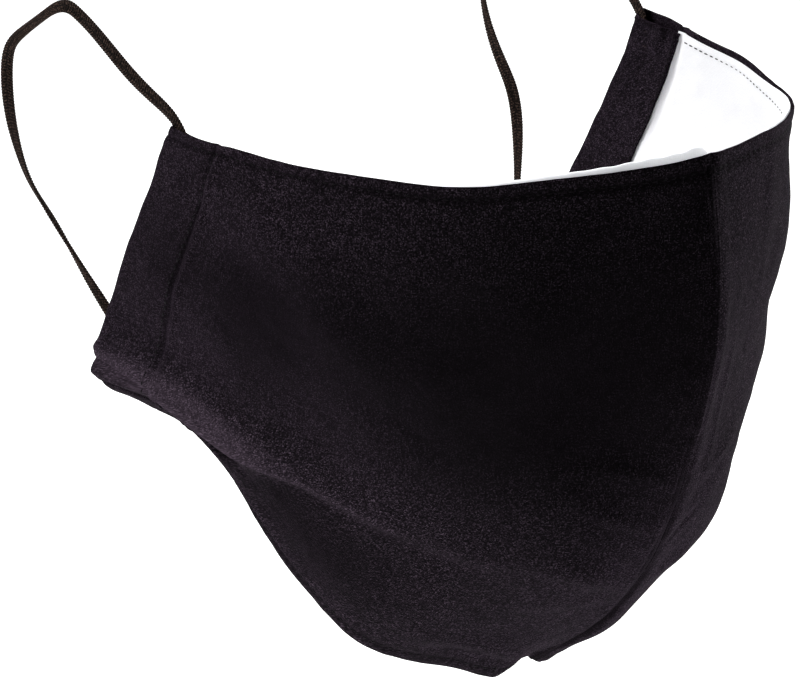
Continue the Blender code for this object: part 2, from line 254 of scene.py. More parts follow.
# Patches of painted shade (below 0) and painted light (above 0): (u, v), half widths along and
# down in millimetres, and how much
PAINTED_LIGHT_AND_SHADE = {
    "right": (
        (0.36, 0.34, 50.0, 38.0, -0.70),
        (0.28, 0.44, 20.0, 20.0, -0.30),
        (0.06, 0.30, 20.0, 36.0, -0.30),
        (0.72, 0.36, 18.0, 22.0, -0.60),
        (0.92, 0.36, 8.0, 26.0, -0.35),
        (0.66, 0.15, 22.0, 14.0, 0.26),
        (0.92, 0.74, 18.0, 7.0, 1.50),
        (0.82, 0.72, 16.0, 6.0, 1.35),
        (0.69, 0.73, 14.0, 5.0, 0.45),
        (0.58, 0.88, 22.0, 9.0, -0.75),
        (0.66, 0.82, 8.0, 4.0, -0.40),
        (0.05, 0.74, 9.0, 9.0, 0.06),
    ),
    "left": (
        (0.17, 0.05, 24.0, 16.0, 0.15),
    ),
}
# Painted highlights along creases of the jaw fold, given as the folds are, with how much in place
# of the height
PAINTED_CREASE_HIGHLIGHTS = (
    (1.1, 0.7, 0.6, ((0.85, 0.782), (0.75, 0.760), (0.61, 0.747), (0.40, 0.748))),
    (2.2, 1.6, 0.5, ((0.98, 0.755), (0.90, 0.740), (0.82, 0.742), (0.74, 0.742))),
)
# Wide pushes of the cloth: (u, v), then half widths along and down it and height in millimetres
PUSHES = {
    "right": (
        (0.05, 1.00, 12.0, 9.0, -1.9),
        (0.82, 0.83, 9.0, 6.0, -2.6),
    ),
    "left": (
        (0.45, 0.00, 18.0, 6.0, 1.9),
        (0.33, 0.37, 15.0, 9.0, -1.8),
        (0.27, 0.53, 13.0, 7.0, -0.6),
        (0.22, 0.64, 12.0, 9.0, -1.9),
        (0.06, 0.87, 7.0, 8.0, 2.0),
        (0.13, 1.00, 9.0, 5.0, -1.0),
    ),
}


def ridge_along(u, v, above, below, height, points):
    """A bell across a line of points, of a different width on each side, fading at both ends."""
    p = np.stack([u * SPAN_U, v * SPAN_V], axis=-1)
    line = np.array(points) * (SPAN_U, SPAN_V)
    lengths = np.linalg.norm(np.diff(line, axis=0), axis=1)
    start = np.concatenate([[0], np.cumsum(lengths)[:-1]])
    nearest = np.full(len(u), np.inf)
    side = np.zeros(len(u))
    run = np.zeros(len(u))
    for a, b, length, before in zip(line[:-1], line[1:], lengths, start):
        t = np.clip(((p - a) @ (b - a)) / length ** 2, 0, 1)
        off = p - a - t[:, None] * (b - a)
        away = np.linalg.norm(off, axis=1)
        closer = away < nearest
        nearest = np.where(closer, away, nearest)
        side = np.where(closer, off[:, 1], side)
        run = np.where(closer, (before + t * length) / lengths.sum(), run)
    width = np.where(side < 0, above, below) * MM
    return height * MM * np.exp(-(nearest / width) ** 2) * np.sin(pi * (0.12 + 0.76 * run))


# %% Softness: a spline through a small net of random heights
DRAWS = np.random.default_rng(11)
SOFT_NETS = {
    side: [
        (0.32, DRAWS.normal(0, 1, (9, 10))),
        (0.11, DRAWS.normal(0, 1, (20, 24))),
        (0.04, DRAWS.normal(0, 1, (46, 52))),
    ]
    for side, _ in SIDES
}


def softness(u, v, side):
    """Sum of splines through nets of random heights, from wide and high to narrow and low."""
    total = np.zeros(len(u))
    for height, net in SOFT_NETS[side]:
        down = spline_weights(np.linspace(0, 1, net.shape[0]), np.clip(v, 0, 1))
        along = spline_weights(np.linspace(0, 1, net.shape[1]), np.clip(u, 0, 1))
        total += height * MM * np.einsum("nr,ns,rs->n", down, along, net)
    return total


# %% How the real edges stray from the smooth ones
TOP_FADE = 0.2            # v where the straying of the top edge has faded out
HEM_FADE = 0.75           # v where that of the hem begins
SIDE_FADE = 0.8           # u where that of the side edge begins
# Millimetres up, at places along the top edge
TOP_RISE = {
    "right": ((0, 0), (0.08, 0), (0.15, 0.7), (0.20, 1.15), (0.25, 1.5), (0.30, 1.75), (0.36, 1.5),
              (0.42, 1.0), (0.50, 1.1), (0.60, 1.2), (0.67, 0.9), (0.76, 1.0), (0.85, 0.9), (0.92, 0.5),
              (1, 0.4)),
    "left": ((0, 0), (0.05, 0), (0.10, 0.3), (0.15, 0.85), (0.20, 1.2), (0.30, 1.2), (0.40, 0.6),
             (0.6, 0.3), (1, 0)),
}
# Millimetres out, at places down the side edge
SIDE_REACH = {
    "right": ((0, -1.6), (0.07, -1.7), (0.15, -2.4), (0.22, -2.0), (0.30, -1.2), (0.36, -0.5),
              (0.45, -0.2), (0.58, -0.2), (0.66, -0.4), (0.685, -0.1), (0.705, 0.3), (0.745, -0.3),
              (0.785, 0.2), (0.86, 0.2), (0.93, 0.2), (1, 0)),
    "left": ((0, -1.6), (0.15, -2.2), (0.30, -1.0), (0.5, 0), (0.66, -0.3), (0.71, 0.4), (0.75, -0.3),
             (0.80, 0.4), (0.9, 0.1), (1, 0)),
}
# Millimetres up, and millimetres out along the normal, at places along the hem
HEM_RISE = {
    "right": ((0, 0), (0.08, 0.7), (0.12, 0.6), (0.145, -0.3), (0.17, 0.1), (0.20, 0.6), (0.26, 1.2),
              (0.30, 0.6), (0.36, 0), (0.5, 0.3), (0.7, 1.0), (0.85, 0.8), (1, 0)),
    "left": ((0, 0), (0.2, 0.4), (0.4, 0), (0.7, 0.8), (1, 0)),
}
HEM_LIFT = {
    "right": ((0, 0), (0.05, -0.8), (0.10, -0.6), (0.15, 0), (0.35, 0), (0.45, -0.3), (0.55, -1.1),
              (0.62, -2.0), (0.70, -2.9), (0.76, -2.9), (0.83, -2.1), (0.9, -1.3), (0.95, -0.4), (1, 0.4)),
    "left": ((0, 0), (0.4, 0), (0.55, -1.0), (0.7, -2.4), (0.85, -1.6), (1, 0)),
}


def read(table, where):
    """A smooth curve through the pairs of a table."""
    knots, values = np.array(table, float).T
    return spline_weights(knots, np.clip(where, knots[0], knots[-1])) @ values


def between(x, low, high):
    """A smooth step from 0 at low to 1 at high."""
    t = np.clip((x - low) / (high - low), 0, 1)
    return t * t * (3 - 2 * t)


def strayed(u, v, side):
    """u and v of the real cloth: the edges moved, fading out over the cloth beside them."""
    up = read(TOP_RISE[side], u) * (1 - between(v, 0, TOP_FADE))
    up += read(HEM_RISE[side], u) * between(v, HEM_FADE, 1)
    out = read(SIDE_REACH[side], v) * between(u, SIDE_FADE, 1)
    return u + out * MM / speed_at_side(v), v - up * MM / SPAN_V


# %% Seams, hems and casing: dents along rows of stitches
TOP_STITCH = 0.0031       # row of stitches below the top edge
HEM_STITCH = 0.0024       # and above the hem
CASING_WIDTH = 0.0197     # folded side channel for the elastic
CASING_STITCH = 0.0190    # row of stitches in from the side edge
TURNED_EDGE = 0.0062      # depth of the cloth turned in along the top
STITCH_PITCH = 0.0023     # from stitch to stitch
PULL_PITCH = 0.0052       # from pull to pull in the cloth beside the seam
SEAM_JOIN = 0.0012        # each side's own relief fades out this close to the seam
HEM_LIFT_V = (0.72, 0.94)   # where the push of the hem along the normal begins and is full
OWN_SPEED_U = 0.6         # beyond it, distances to the side edge take on that edge's own measure


def bell(distance, width):
    """1 at no distance, falling off both ways."""
    return np.exp(-(distance / width) ** 2)


def step_down(distance, width):
    """1 before an edge and 0 after it, with a soft step between."""
    return 0.5 - 0.5 * np.tanh(distance / width)


# Which side, the edge that it follows, metres from it, half width and height in millimetres, the
# shape across it, and the ripple along it
SEWN_RELIEF = (
    ("both", "top", TOP_STITCH, 0.6, -0.28, bell, None),
    ("both", "top", TOP_STITCH, 1.1, 0.05, bell, "along"),
    ("both", "top", TURNED_EDGE, 0.4, 0.10, step_down, None),
    ("both", "side", CASING_STITCH, 0.7, -0.42, bell, None),
    ("both", "side", CASING_STITCH, 1.2, 0.05, bell, "down"),
    ("both", "side", CASING_STITCH + 0.0018, 1.0, 0.32, bell, None),
    ("both", "side", CASING_WIDTH / 2, 3.5, 0.25, bell, None),
    ("both", "hem", HEM_STITCH, 0.7, -0.28, bell, None),
    ("both", "hem", HEM_STITCH, 1.3, 0.09, bell, "gathered"),
    ("both", "hem", 2 * HEM_STITCH, 0.5, 0.12, step_down, None),
    ("both", "seam", 0.0015, 2.4, 0.10, bell, "pulled"),
    ("right", "seam", 0.0016, 0.4, -0.28, bell, None),
    ("left", "seam", 0.0050, 0.5, 0.20, step_down, None),
)


def distances(u, v):
    """Metres from the seam, the side edge, the top edge and the hem, at each point."""
    side_share = np.clip((u - OWN_SPEED_U) / (1 - OWN_SPEED_U), 0, 1)
    from_side = (1 - u) * (speed_at_side(v) * side_share + SPAN_U * (1 - side_share))
    return {"seam": u * SPAN_U, "side": from_side, "top": v * SPAN_V, "hem": (1 - v) * SPAN_V}


def sewn_relief(u, v, side):
    """Dents of the stitch rows, ripples between the stitches, and the thickness of turned cloth."""
    away = distances(u, v)
    along = 2 * pi * u * SPAN_U
    down = 2 * pi * v * SPAN_V
    ripples = {
        None: 1,
        "along": np.cos(along / STITCH_PITCH),
        "down": np.cos(down / STITCH_PITCH),
        "gathered": np.cos(along / STITCH_PITCH + 2 * np.sin(9 * u)),
        "pulled": np.sin(down / PULL_PITCH + 2.5 * np.sin(11 * v)),
    }
    height = np.zeros(len(u))
    for which, edge, at, wide, rise, shape, ripple in SEWN_RELIEF:
        if which in ("both", side):
            height += rise * MM * ripples[ripple] * shape(away[edge] - at, wide * MM)
    return height


def pushed(u, v, table):
    """Sum of wide oval bells: the place, half widths along and down in millimetres, and amount of each."""
    return sum(amount * bell((u - u_at) * SPAN_U, wide * MM) * bell((v - v_at) * SPAN_V, tall * MM)
               for u_at, v_at, wide, tall, amount in table)


def relief(u, v, side):
    """All the heights of one side, added up.

    Close to the seam the two sides share one shallow valley, so that their edges stay together.
    """
    height = softness(u, v, side) + sewn_relief(u, v, side)
    for fold in SHARED_FOLDS + SIDE_FOLDS[side]:
        height += ridge_along(u, v, *fold)
    height += (pushed(u, v, PUSHES[side]) + read(HEM_LIFT[side], u) * between(v, *HEM_LIFT_V)) * MM
    own = 1 - bell(u * SPAN_U, SEAM_JOIN)
    valley = -0.30 + 0.12 * np.sin(19 * v + 0.7) + 0.08 * np.sin(47 * v) - 0.35 * between(v, 0.55, 0.8)
    return height * own + valley * MM * (1 - own)


# %% Placing a point of a piece
CLOSE = 0.00003           # the two sides meet this close to the centre plane


def place(u, v, depth, side, sign, share=1.0):
    """Points so far under the outer face: the smooth surface, moved along its normal.

    The relief lifts the point in full or by a share, and the far side is the mirror image.
    """
    shape = np.broadcast(u, v, depth).shape
    u, v, depth = (np.ravel(a) for a in np.broadcast_arrays(u, v, depth))
    lift = relief(u, v, side) * share - depth
    u, v = strayed(u, v, side)
    p = base_surface(u, v) + base_normals(u, v) * lift[:, None]
    p[:, 0] = sign * (np.maximum(p[:, 0], 0) + CLOSE)
    return p.reshape(*shape, 3)


# %% [markdown]
# ## From arrays to a mesh
# Every piece is computed as whole arrays of points and faces, and handed to Blender in one go. Two
# or more corner counts can be mixed. Each point may carry a place in the weave, as a UV map in
# millimetres, and one number that its finish reads, named painted_light_and_wear: the painted light
# and shade of the black cotton with the wear of its rims, how high a rib of the elastic stands, or
# how far the lining has no black cloth behind it.

# %% Making a piece
def make_piece(name, points, faces, finish, uv=None, painted_light_and_wear=None, smooth_angle=60):
    """Mesh object at the origin from points and a list of face arrays, shaded smooth."""
    loops = np.concatenate([f.ravel() for f in faces]).astype(np.int32)
    totals = np.concatenate([np.full(len(f), f.shape[1]) for f in faces]).astype(np.int32)
    mesh = bpy.data.meshes.new(name)
    mesh.vertices.add(len(points))
    mesh.vertices.foreach_set("co", np.ascontiguousarray(points, np.float32).ravel())
    mesh.loops.add(len(loops))
    mesh.loops.foreach_set("vertex_index", loops)
    mesh.polygons.add(len(totals))
    mesh.polygons.foreach_set("loop_start", np.concatenate([[0], np.cumsum(totals)[:-1]]).astype(np.int32))
    if uv is not None:
        layer = mesh.uv_layers.new(name="weave")
        layer.data.foreach_set("uv", np.ascontiguousarray(uv[loops], np.float32).ravel())
    if painted_light_and_wear is not None:
        layer = mesh.attributes.new("painted_light_and_wear", "FLOAT", "POINT")
        layer.data.foreach_set("value", np.ascontiguousarray(painted_light_and_wear, np.float32))
    mesh.update(calc_edges=True)
    mesh.validate()
    mesh.shade_smooth()
    mesh.set_sharp_from_angle(angle=radians(smooth_angle))
    mesh.materials.append(finish)
    ob = bpy.data.objects.new(name, mesh)
    bpy.context.scene.collection.objects.link(ob)
    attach(ob, "root")
    triangles = sum(len(f) * (f.shape[1] - 2) for f in faces)
    print(name, len(points), "points", triangles, "triangles")
    return ob


def grid_faces(index, flip=False):
    """Four-sided faces between the neighbours of a grid of point numbers."""
    f = np.stack([index[:-1, :-1], index[1:, :-1], index[1:, 1:], index[:-1, 1:]], axis=-1).reshape(-1, 4)
    return f[:, ::-1] if flip else f


# %% [markdown]
# ## Shader maths
# Materials here are expressions. A wrapped socket can be added to, multiplied or bent with plain
# Python operators, and each adds a Math node; any other node comes from one method.

# %% A socket that does arithmetic
class Wire:
    """One output socket of a material's nodes. Arithmetic on it adds nodes to the same tree."""

    def __init__(self, tree, socket=None):
        self.tree = tree
        self.socket = socket

    def node(self, kind, settings, inputs, output=0):
        """A node of that kind: its settings first, then the values or links of its sockets."""
        made = self.tree.nodes.new(kind)
        for key, value in settings.items():
            setattr(made, key, value)
        for key, value in inputs.items():
            if isinstance(value, Wire):
                self.tree.links.new(value.socket, made.inputs[key])
            else:
                made.inputs[key].default_value = value
        return Wire(self.tree, made.outputs[output])

    def math(self, operation, *values):
        """A Math node on these values."""
        return self.node("ShaderNodeMath", {"operation": operation}, dict(enumerate(values)))

    def __add__(self, other):
        return self.math("ADD", self, other)

    def __radd__(self, other):
        return self.math("ADD", other, self)

    def __sub__(self, other):
        return self.math("SUBTRACT", self, other)

    def __rsub__(self, other):
        return self.math("SUBTRACT", other, self)

    def __mul__(self, other):
        return self.math("MULTIPLY", self, other)

    def __truediv__(self, other):
        return self.math("DIVIDE", self, other)

    def __pow__(self, other):
        return self.math("POWER", self, other)

    def sine(self):
        return self.math("SINE", self)

    def absolute(self):
        return self.math("ABSOLUTE", self)

    def floor(self):
        return self.math("FLOOR", self)

    def between(self, low, high):
        """0 below low, 1 above high and a smooth step between."""
        return self.node("ShaderNodeMapRange", {"interpolation_type": "SMOOTHSTEP"},
                         {0: self, 1: low, 2: high, 3: 0.0, 4: 1.0})

    def mix(self, first, second):
        """The first colour where this is 0, the second where it is 1."""
        return self.node("ShaderNodeMix", {"data_type": "RGBA"}, {0: self, 6: first, 7: second}, 2)


def new_finish(name, constants):
    """A material, with the constant sockets of its Principled shader set by name, and a first wire."""
    finish = bpy.data.materials.new(name)
    finish.use_nodes = True
    shader = finish.node_tree.nodes["Principled BSDF"]
    for key, value in constants.items():
        shader.inputs[key].default_value = value
    return finish, Wire(finish.node_tree)


def feed(finish, varying):
    """Links each wire to the socket of the Principled shader that it's named for."""
    shader = finish.node_tree.nodes["Principled BSDF"]
    for key, wire in varying.items():
        wire.tree.links.new(wire.socket, shader.inputs[key])


def bump(wire, strength, distance, height):
    """The normal bent by a height; the distance is in metres."""
    return wire.node("ShaderNodeBump", {}, {"Strength": strength, "Distance": distance, "Height": height})


def carried(wire):
    """The number that each point carries, named painted_light_and_wear."""
    return wire.node("ShaderNodeAttribute", {"attribute_name": "painted_light_and_wear"}, {}, "Fac")


def noise(wire, vector, scale, detail=2.0, roughness=0.5):
    """Noise texture of that many features to a unit of the vector."""
    return wire.node("ShaderNodeTexNoise", {}, {"Vector": vector, "Scale": scale, "Detail": detail,
                                                "Roughness": roughness})


def stretched(wire, vector, across, down):
    """The vector with its two directions scaled apart."""
    return wire.node("ShaderNodeMapping", {}, {"Vector": vector, "Scale": (across, down, 1.0)})


# %% [markdown]
# ## Black cotton
# The outer cloth is a fine plain weave, dyed a black that is faintly purple, with pale lint caught
# in it. A picture of cloth would blur close up, so the threads are worked out from the UV map,
# which is in millimetres: two sets of ribs that pass over and under each other. Each crossing gets
# its own brightness and slubs run along the threads. Painted highlights make the folds, creases,
# rims and the cloth beside the stitches paler, and painted shade darkens the stitch rows, the seam
# and some patches.

# %% Black cotton
THREAD = 0.36             # millimetres from thread to thread


def plain_weave(wire, place_on_cloth, pitch):
    """Height of a plain weave: rounded ribs each way, one over the other by turns."""
    x = wire.node("ShaderNodeSeparateXYZ", {}, {0: place_on_cloth}, 0) * (pi / pitch)
    y = wire.node("ShaderNodeSeparateXYZ", {}, {0: place_on_cloth}, 1) * (pi / pitch)
    turn = (x.sine() * y.sine() * 1.6 + 0.5).between(0.0, 1.0)
    return turn * x.sine().absolute() + (1 - turn) * y.sine().absolute()


def crossing_number(wire, place_on_cloth, pitch):
    """A random number for each crossing of two threads."""
    x = (wire.node("ShaderNodeSeparateXYZ", {}, {0: place_on_cloth}, 0) / pitch).floor()
    y = (wire.node("ShaderNodeSeparateXYZ", {}, {0: place_on_cloth}, 1) / pitch).floor()
    cell = wire.node("ShaderNodeCombineXYZ", {}, {0: x, 1: y})
    return wire.node("ShaderNodeTexWhiteNoise", {"noise_dimensions": "2D"}, {"Vector": cell})


def noise_colour(wire, vector, scale):
    """Noise as a vector, about its middle."""
    colour = wire.node("ShaderNodeTexNoise", {}, {"Vector": vector, "Scale": scale, "Detail": 1.0}, 1)
    return wire.node("ShaderNodeVectorMath", {"operation": "SUBTRACT"}, {0: colour, 1: (0.5, 0.5, 0.5)})


def black_cotton_finish():
    """Near-black plain weave: brightness by crossing, slub and patch, painted shade and highlight, with
    lint.
    """
    finish, w = new_finish("black_cotton", {
        "Sheen Weight": 0.025, "Sheen Roughness": 0.42, "Sheen Tint": (0.85, 0.52, 0.88, 1),
        "Specular IOR Level": 0.023})
    cloth = w.node("ShaderNodeUVMap", {"uv_map": "weave"}, {})
    # The threads wander by a fraction of a millimetre, so that no straight grid shows.
    waver = w.node("ShaderNodeVectorMath", {"operation": "SCALE"},
                   {0: noise_colour(w, cloth, 0.35), "Scale": 0.35})
    threads = w.node("ShaderNodeVectorMath", {"operation": "ADD"}, {0: cloth, 1: waver})
    weave = plain_weave(w, threads, THREAD)
    glint = crossing_number(w, threads, THREAD)
    speck = crossing_number(w, threads, THREAD * 0.72)
    slub = noise(w, stretched(w, cloth, 0.30, 3.2), 1.0) + noise(w, stretched(w, cloth, 3.2, 0.22), 1.0)
    patch = noise(w, cloth, 0.05, 3.0)
    lint = noise(w, cloth, 2.6, 3.0, 0.7).between(0.69, 0.78)
    painted_light_and_wear = carried(w)
    # Few crossings are bright and very few specks; high powers keep the rest near black.
    grain = 0.04 + glint ** 4.0 * 1.3 + speck ** 6.0 * 5.6
    tone = (0.30 + weave) * grain * (0.25 + slub ** 3.0 * 0.75) * (0.6 + patch * 0.8)
    # Where the number is low it paints shade on the cloth; where it is high, painted highlight and the
    # wear of the rims make the cloth pale all over.
    nap = 0.1 + painted_light_and_wear.between(-1.0, 0.5) * 1.35
    highlight_and_wear = painted_light_and_wear.between(0.0, 2.0) * (0.5 + glint * 0.7)
    pale = (tone * nap + highlight_and_wear * 3.6) * 0.064 + lint * 0.06
    colour = pale.mix((0.0006, 0.0003, 0.0006, 1), (0.120, 0.088, 0.121, 1))
    height = weave + slub * 0.6 + lint + speck * 0.5
    feed(finish, {"Base Color": colour, "Roughness": 0.80 + patch * 0.15,
                  "Normal": bump(w, 0.7, 0.00015, height)})
    return finish


black_cotton = black_cotton_finish()

# %% [markdown]
# ## White lining
# The lining is a softer, slightly fuzzy white cotton. The same weave serves, wider and shallower,
# under a cloudy nap. Where it stands above the black cloth, light comes through it from the other
# side; light can't pass the two skins of this wall, so a glow along that strip stands for it.

# %% White lining
LINING_THREAD = 0.45      # millimetres from thread to thread


def white_lining_finish():
    """Soft white cotton: a shallow weave under nap, with a glow where it has no black cloth behind."""
    finish, w = new_finish("white_lining", {
        "Sheen Weight": 0.15, "Sheen Roughness": 0.6, "Specular IOR Level": 0.2,
        "Emission Strength": 0.62})
    cloth = w.node("ShaderNodeUVMap", {"uv_map": "weave"}, {})
    weave = plain_weave(w, cloth, LINING_THREAD)
    nap = noise(w, cloth, 1.6, 4.0, 0.65)
    patch = noise(w, cloth, 0.06, 2.0)
    tone = (0.55 + weave * 0.15 + nap * 0.35 + patch * 0.2).between(0.3, 1.2)
    colour = tone.mix((0.72, 0.72, 0.75, 1), (0.93, 0.93, 0.95, 1))
    through = carried(w).mix((0, 0, 0, 1), (0.95, 0.97, 1, 1))
    feed(finish, {"Base Color": colour, "Emission Color": through, "Roughness": 0.85 + nap * 0.1,
                  "Normal": bump(w, 0.6, 0.00015, weave * 0.4 + nap)})
    return finish


white_lining = white_lining_finish()

# %% [markdown]
# ## Elastic and thread finishes
# The elastic is braided from a matt yarn that is browner than the cotton. The sewing thread is a
# smooth black that catches a little more light.

# %% Elastic and thread
def black_elastic_finish():
    """Brownish-black yarn, with painted highlight on top of the ribs and painted shade between them, and
    fine hairs along it.
    """
    finish, w = new_finish("black_elastic", {
        "Sheen Weight": 0.022, "Sheen Roughness": 0.4, "Sheen Tint": (0.85, 0.70, 0.64, 1),
        "Specular IOR Level": 0.04})
    band = w.node("ShaderNodeUVMap", {"uv_map": "weave"}, {})
    yarn = noise(w, stretched(w, band, 3.0, 9.0), 1.0, 3.0, 0.6)
    rib = carried(w)
    fleck = noise(w, stretched(w, band, 1.6, 3.4), 1.0, 2.0, 0.6).between(0.46, 0.62)
    # Painted shade between the ribs and painted highlight on their tops, from the rib height that each
    # point carries.
    tone = (rib ** 2.0 * 1.3 + 0.05) * (0.08 + fleck ** 2.0 * 2.6) + yarn * 0.03
    colour = tone.mix((0.0010, 0.0006, 0.0005, 1), (0.078, 0.050, 0.040, 1))
    feed(finish, {"Base Color": colour, "Roughness": 0.6 + yarn * 0.25,
                  "Normal": bump(w, 0.5, 0.0001, yarn)})
    return finish


def black_thread_finish():
    """Smooth twisted black thread."""
    finish, w = new_finish("black_thread", {"Sheen Weight": 0.01, "Specular IOR Level": 0.04})
    where = w.node("ShaderNodeTexCoord", {}, {}, "Object")
    ply = noise(w, where, 4000.0, 1.0)
    colour = ply.mix((0.0010, 0.0006, 0.0010, 1), (0.0036, 0.0022, 0.0038, 1))
    feed(finish, {"Base Color": colour, "Roughness": 0.5 + ply * 0.2,
                  "Normal": bump(w, 0.5, 0.00005, ply)})
    return finish


black_elastic = black_elastic_finish()
black_thread = black_thread_finish()

# %% [markdown]
# ## Ear elastics
# Each is a flat elastic 3 mm wide, about 19 cm of it, out of the top of the casing, round the back
# of the ear and into the casing's foot, with 9 mm of it sewn in at each end. Pulled straight between
# its ends it is taut, so its route is a list of points read through one smooth curve. The band
# twists a little to and fro on its way, and its ribs are real relief: rows of small V shapes along
# it. Each sewn end has a smooth facing of its own, that of the casing.

# %% Route of the elastic
WALL = 0.001              # cloth wall of the frame's solids
CHANNEL_HEIGHT = 0.002    # clear height inside their casing
ELASTIC_WIDTH = 0.003
ELASTIC_THICKNESS = 0.0012
ELASTIC_TAIL = 0.009      # length sewn into each end of the channel
ELASTIC_AT_MOUTH = 0.0035   # centre of the elastic from the side edge, at the channel's mouths
ELASTIC_LEAN = 0.0055       # how much further in its sewn end lies
TAIL_POINTS = 4
FACING_ROUNDS = 20        # times that the facing is averaged with its neighbours

# Centre line of the left elastic from the top mouth round to the foot
EAR_ROUTE = (
    (0.0675, 0.1138, -0.0056),
    (0.0680, 0.1225, -0.0022),
    (0.0680, 0.1321, 0.0021),
    (0.0682, 0.1425, 0.0064),
    (0.0685, 0.1459, 0.0073),
    (0.0688, 0.1505, 0.0061),
    (0.0690, 0.1558, 0.0027),
    (0.0694, 0.1645, -0.0037),
    (0.0698, 0.1692, -0.0085),
    (0.0699, 0.1709, -0.0157),
    (0.0698, 0.1709, -0.0207),
    (0.0698, 0.1698, -0.0265),
    (0.0698, 0.1671, -0.0332),
    (0.0697, 0.1628, -0.0395),
    (0.0688, 0.1570, -0.0455),
    (0.0666, 0.1519, -0.0530),
    (0.0635, 0.1476, -0.0618),
    (0.0598, 0.1439, -0.0709),
    (0.0566, 0.1424, -0.0780),
    (0.0541, 0.1404, -0.0829),
    (0.0538, 0.1366, -0.0860),
)
# Which way the band faces along its run, as a share of the run and a direction on the left side
BAND_FACING = (
    (0.00, (1.0, 0.0, 0.0)),
    (0.06, (1.0, 0.0, 0.0)),
    (0.14, (0.90, -0.3, 0.20)),
    (0.24, (0.90, -0.1, 0.25)),
    (0.32, (0.85, 0.3, 0.40)),
    (0.39, (0.85, 0.2, 0.40)),
    (0.46, (0.80, -0.5, 0.25)),
    (0.58, (0.85, 0.2, 0.30)),
    (0.66, (0.60, 0.7, 0.10)),
    (0.74, (0.85, 0.2, -0.10)),
    (0.82, (0.95, -0.3, 0.0)),
    (0.90, (1.0, 0.0, 0.0)),
    (1.00, (1.0, 0.0, 0.0)),
)


def elastic_tail(start, toward):
    """Centre line inside the channel from a mouth at row start, leaning in from the side edge."""
    step = 0.05
    mouth = np.array([start])
    beside = 1 + 0 * mouth
    reach = np.linalg.norm(base_surface(beside, mouth + toward * step) - base_surface(beside, mouth))
    inward = np.linspace(0, 1, TAIL_POINTS)
    v = start + toward * inward * ELASTIC_TAIL * step / reach
    u = 1 - (ELASTIC_AT_MOUTH + ELASTIC_LEAN * (1 - (1 - inward) ** 2)) / speed_at_side(v)
    return base_surface(u, v) - base_normals(u, v) * (WALL + CHANNEL_HEIGHT / 2), base_normals(u, v)


def elastic_route(sign, rings):
    """Points and facing of the band, read evenly from one spline through all the chosen points."""
    top, top_facing = elastic_tail(0, 1)
    foot, foot_facing = elastic_tail(1, -1)
    chosen = np.concatenate([top[::-1], np.array(EAR_ROUTE), foot])
    run = np.concatenate([[0], np.cumsum(np.linalg.norm(np.diff(chosen, axis=0), axis=1))])
    even = np.linspace(0, 1, rings)
    path = spline_weights(run / run[-1], even) @ chosen
    turned = np.array([direction for _, direction in BAND_FACING])
    facing = spline_weights([share for share, _ in BAND_FACING], even) @ turned
    held = np.concatenate([top_facing[::-1], foot_facing])
    near = np.concatenate([run[:TAIL_POINTS], run[-TAIL_POINTS:]]) / run[-1]
    for tail in (slice(0, TAIL_POINTS), slice(TAIL_POINTS, None)):
        inside = (even >= near[tail][0]) & (even <= near[tail][-1])
        facing[inside] = spline_weights(near[tail], even[inside]) @ held[tail]
    for _ in range(FACING_ROUNDS):
        facing[1:-1] = (facing[:-2] + facing[1:-1] + facing[2:]) / 3
    return path * (sign, 1, 1), facing * (sign, 1, 1)


# %% The braided band
RIB_PITCH = 0.00072       # from rib to rib along the band
RIB_SLANT = 0.9           # how many ribs later the edge is than the middle
RIB_DEPTH = 0.00026
BAND_RINGS = 1561
BAND_POINTS = 32


def ear_loop(word, sign):
    """Flat oval section carried along the route, with slanting ribs raised on both halves.

    The ribs are a cosine of the run along the band, later towards its edges, so that each pair
    draws a V; a groove parts the halves, and every rib pushes the edge out a little.
    """
    path, facing = elastic_route(sign, BAND_RINGS)
    forward = np.gradient(path, axis=0)
    spacing = np.linalg.norm(forward, axis=1, keepdims=True)
    forward /= spacing
    facing = facing - forward * np.sum(forward * facing, axis=1, keepdims=True)
    facing /= np.linalg.norm(facing, axis=1, keepdims=True)
    across = np.cross(forward, facing)
    run = np.concatenate([[0], np.cumsum(np.linalg.norm(np.diff(path, axis=0), axis=1))])
    angle = np.arange(BAND_POINTS) * 2 * pi / BAND_POINTS
    wide = np.cos(angle) * ELASTIC_WIDTH / 2
    thin = np.sign(np.sin(angle)) * np.abs(np.sin(angle)) ** 0.6 * ELASTIC_THICKNESS / 2
    off = np.abs(np.cos(angle))[None, :]
    loop = 0.5 + 0.5 * np.cos(2 * pi * (run[:, None] / RIB_PITCH - RIB_SLANT * off))
    raised = loop * (1 - 0.9 * np.exp(-(off / 0.16) ** 2))
    scale = 1 + RIB_DEPTH * (raised - 1) / (ELASTIC_THICKNESS / 2)
    wide = wide[None, :] * (0.96 + 0.06 * loop)
    rings = path[:, None, :] + across[:, None, :] * wide[:, :, None]
    rings = rings + facing[:, None, :] * (thin[None, :] * scale)[:, :, None]
    index = np.arange(BAND_RINGS * BAND_POINTS).reshape(BAND_RINGS, BAND_POINTS)
    around = np.concatenate([index, index[:, :1]], axis=1)
    caps = [index[:1, ::-1], index[-1:]]
    girth = np.arange(BAND_POINTS) / BAND_POINTS * 2 * (ELASTIC_WIDTH + ELASTIC_THICKNESS) / MM
    uv = np.stack(np.broadcast_arrays(run[:, None] / MM, girth[None, :]), axis=-1).reshape(-1, 2)
    faces = [grid_faces(around, flip=sign > 0), *(c if sign < 0 else c[:, ::-1] for c in caps)]
    band = make_piece(f"elastic_{word}", rings.reshape(-1, 3), faces, black_elastic, uv, raised.ravel())
    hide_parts(f"ear_loop_{word}")
    print(f"elastic_{word}", round(run[-1] * 1000, 1), "mm long")
    return band


for word, sign in SIDES:
    ear_loop(word, sign)

